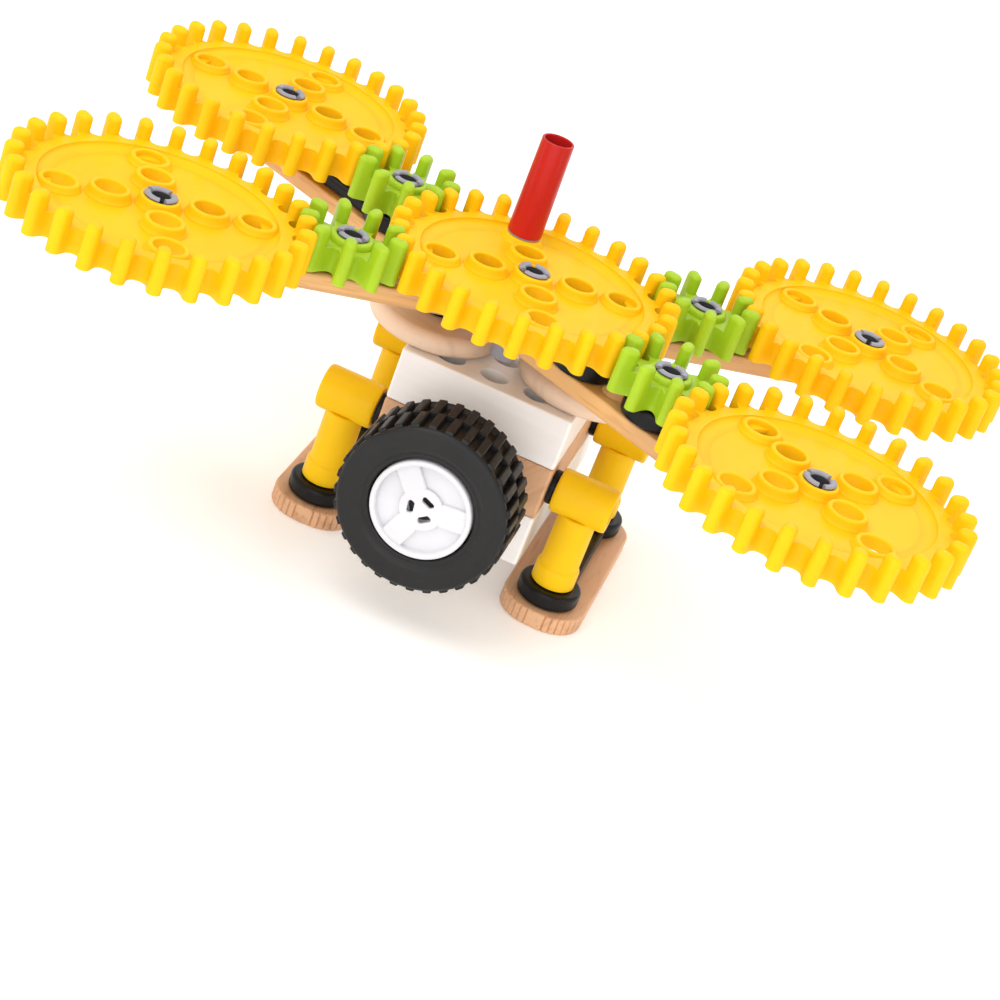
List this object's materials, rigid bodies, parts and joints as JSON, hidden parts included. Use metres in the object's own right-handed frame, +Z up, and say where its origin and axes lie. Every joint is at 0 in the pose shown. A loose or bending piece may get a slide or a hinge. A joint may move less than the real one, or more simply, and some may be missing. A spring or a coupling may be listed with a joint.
{
  "type": "construction toy set",
  "caption": "Wooden and plastic construction toy built up as a crank-driven train of meshing yellow gears and green pinions on a block stand with a wheel.",
  "frame": {"origin": "on the floor under the axis of the centre gear, in the middle of the footprint of the whole model", "axes": "+X to the right along the model's longest side, +Y to the back, away from the wheel, +Z up along the gear axes"},
  "size_m": [0.3048, 0.2172, 0.1412],
  "materials": {
    "yellow_plastic": "satin",
    "amber_plastic": "satin",
    "green_plastic": "satin, slightly translucent",
    "red_plastic": "satin",
    "grey_plastic": "satin",
    "black_plastic": "satin",
    "white_plastic": "satin",
    "natural_wood": "smooth, unvarnished",
    "pale_wood": "smooth, unvarnished",
    "white_painted_wood": "painted white, satin",
    "tyre_rubber": "matt"
  },
  "bodies": {
    "frame": {"beam_link_left_rear": "black_plastic", "beam_link_right_front": "black_plastic", "beam_lower": "natural_wood", "beam_ring": "black_plastic", "beam_ring_pin": "grey_plastic", "beam_upper": "natural_wood", "block_lower": "white_painted_wood", "block_middle_front": "natural_wood", "block_middle_rear": "natural_wood", "block_upper": "white_painted_wood", "disc_left": "pale_wood", "disc_pin_left": "grey_plastic", "disc_pin_right": "grey_plastic", "disc_right": "pale_wood", "foot_link_left": "black_plastic", "foot_link_right": "black_plastic", "gear_pin_centre": "grey_plastic", "gear_pin_left_front": "grey_plastic", "gear_pin_left_rear": "grey_plastic", "gear_pin_right_front": "grey_plastic", "gear_pin_right_rear": "grey_plastic", "leg_left_front": "amber_plastic", "leg_left_rear": "amber_plastic", "leg_pin_left_front": "grey_plastic", "leg_pin_left_rear": "grey_plastic", "leg_pin_right_front": "grey_plastic", "leg_pin_right_rear": "grey_plastic", "leg_right_front": "amber_plastic", "leg_right_rear": "amber_plastic", "leg_washer_left_front": "black_plastic", "leg_washer_left_rear": "black_plastic", "leg_washer_right_front": "black_plastic", "leg_washer_right_rear": "black_plastic", "pinion_pin_left_front": "grey_plastic", "pinion_pin_left_rear": "grey_plastic", "pinion_pin_right_front": "grey_plastic", "pinion_pin_right_rear": "grey_plastic", "skid_left": "natural_wood", "skid_right": "natural_wood", "spacer_left": "black_plastic", "spacer_right": "black_plastic", "stack_pin_front_left": "grey_plastic", "stack_pin_front_right": "grey_plastic", "stack_pin_rear_left": "grey_plastic", "stack_pin_rear_right": "grey_plastic", "wheel_axle": "grey_plastic", "wheel_spacer": "black_plastic"},
    "centre_gear": {"gear_centre": "yellow_plastic", "crank_peg": "grey_plastic"},
    "crank_sleeve": {"crank_sleeve": "red_plastic"},
    "wheel": {"tyre": "tyre_rubber", "wheel_hub": "white_plastic"},
    "pinion_left_front": {"pinion_left_front": "green_plastic"},
    "gear_left_front": {"gear_left_front": "yellow_plastic"},
    "pinion_right_rear": {"pinion_right_rear": "green_plastic"},
    "gear_right_rear": {"gear_right_rear": "yellow_plastic"},
    "pinion_left_rear": {"pinion_left_rear": "green_plastic"},
    "gear_left_rear": {"gear_left_rear": "yellow_plastic"},
    "pinion_right_front": {"pinion_right_front": "green_plastic"},
    "gear_right_front": {"gear_right_front": "yellow_plastic"}
  },
  "joints": [
    {"name": "centre_gear_spin", "type": "hinge", "parent": "frame", "child": "centre_gear", "pos_m": [0, 0, 0.10875], "axis": [0, 0, 1], "continuous": true},
    {"name": "crank_sleeve_spin", "type": "hinge", "parent": "centre_gear", "child": "crank_sleeve", "pos_m": [-0.01114, 0.02786, 0.125], "axis": [0, 0, 1], "continuous": true},
    {"name": "wheel_spin", "type": "hinge", "parent": "frame", "child": "wheel", "pos_m": [0, -0.0405, 0.04365], "axis": [0, 1, 0], "continuous": true},
    {"name": "pinion_left_front_spin", "type": "hinge", "parent": "frame", "child": "pinion_left_front", "pos_m": [-0.05148, -0.03081, 0.10875], "axis": [0, 0, 1], "continuous": true},
    {"name": "gear_left_front_spin", "type": "hinge", "parent": "frame", "child": "gear_left_front", "pos_m": [-0.10297, -0.06162, 0.10875], "axis": [0, 0, 1], "continuous": true},
    {"name": "pinion_right_rear_spin", "type": "hinge", "parent": "frame", "child": "pinion_right_rear", "pos_m": [0.05148, 0.03081, 0.10875], "axis": [0, 0, 1], "continuous": true},
    {"name": "gear_right_rear_spin", "type": "hinge", "parent": "frame", "child": "gear_right_rear", "pos_m": [0.10297, 0.06162, 0.10875], "axis": [0, 0, 1], "continuous": true},
    {"name": "pinion_left_rear_spin", "type": "hinge", "parent": "frame", "child": "pinion_left_rear", "pos_m": [-0.05278, 0.02854, 0.10875], "axis": [0, 0, 1], "continuous": true},
    {"name": "gear_left_rear_spin", "type": "hinge", "parent": "frame", "child": "gear_left_rear", "pos_m": [-0.10556, 0.05708, 0.10875], "axis": [0, 0, 1], "continuous": true},
    {"name": "pinion_right_front_spin", "type": "hinge", "parent": "frame", "child": "pinion_right_front", "pos_m": [0.05278, -0.02854, 0.10875], "axis": [0, 0, 1], "continuous": true},
    {"name": "gear_right_front_spin", "type": "hinge", "parent": "frame", "child": "gear_right_front", "pos_m": [0.10556, -0.05708, 0.10875], "axis": [0, 0, 1], "continuous": true}
  ],
  "couplings": [
    {"joint": "pinion_left_front_spin", "follows": "centre_gear_spin", "ratio": -3},
    {"joint": "gear_left_front_spin", "follows": "centre_gear_spin", "ratio": 1},
    {"joint": "pinion_right_rear_spin", "follows": "centre_gear_spin", "ratio": -3},
    {"joint": "gear_right_rear_spin", "follows": "centre_gear_spin", "ratio": 1},
    {"joint": "pinion_left_rear_spin", "follows": "centre_gear_spin", "ratio": -3},
    {"joint": "gear_left_rear_spin", "follows": "centre_gear_spin", "ratio": 1},
    {"joint": "pinion_right_front_spin", "follows": "centre_gear_spin", "ratio": -3},
    {"joint": "gear_right_front_spin", "follows": "centre_gear_spin", "ratio": 1}
  ]
}
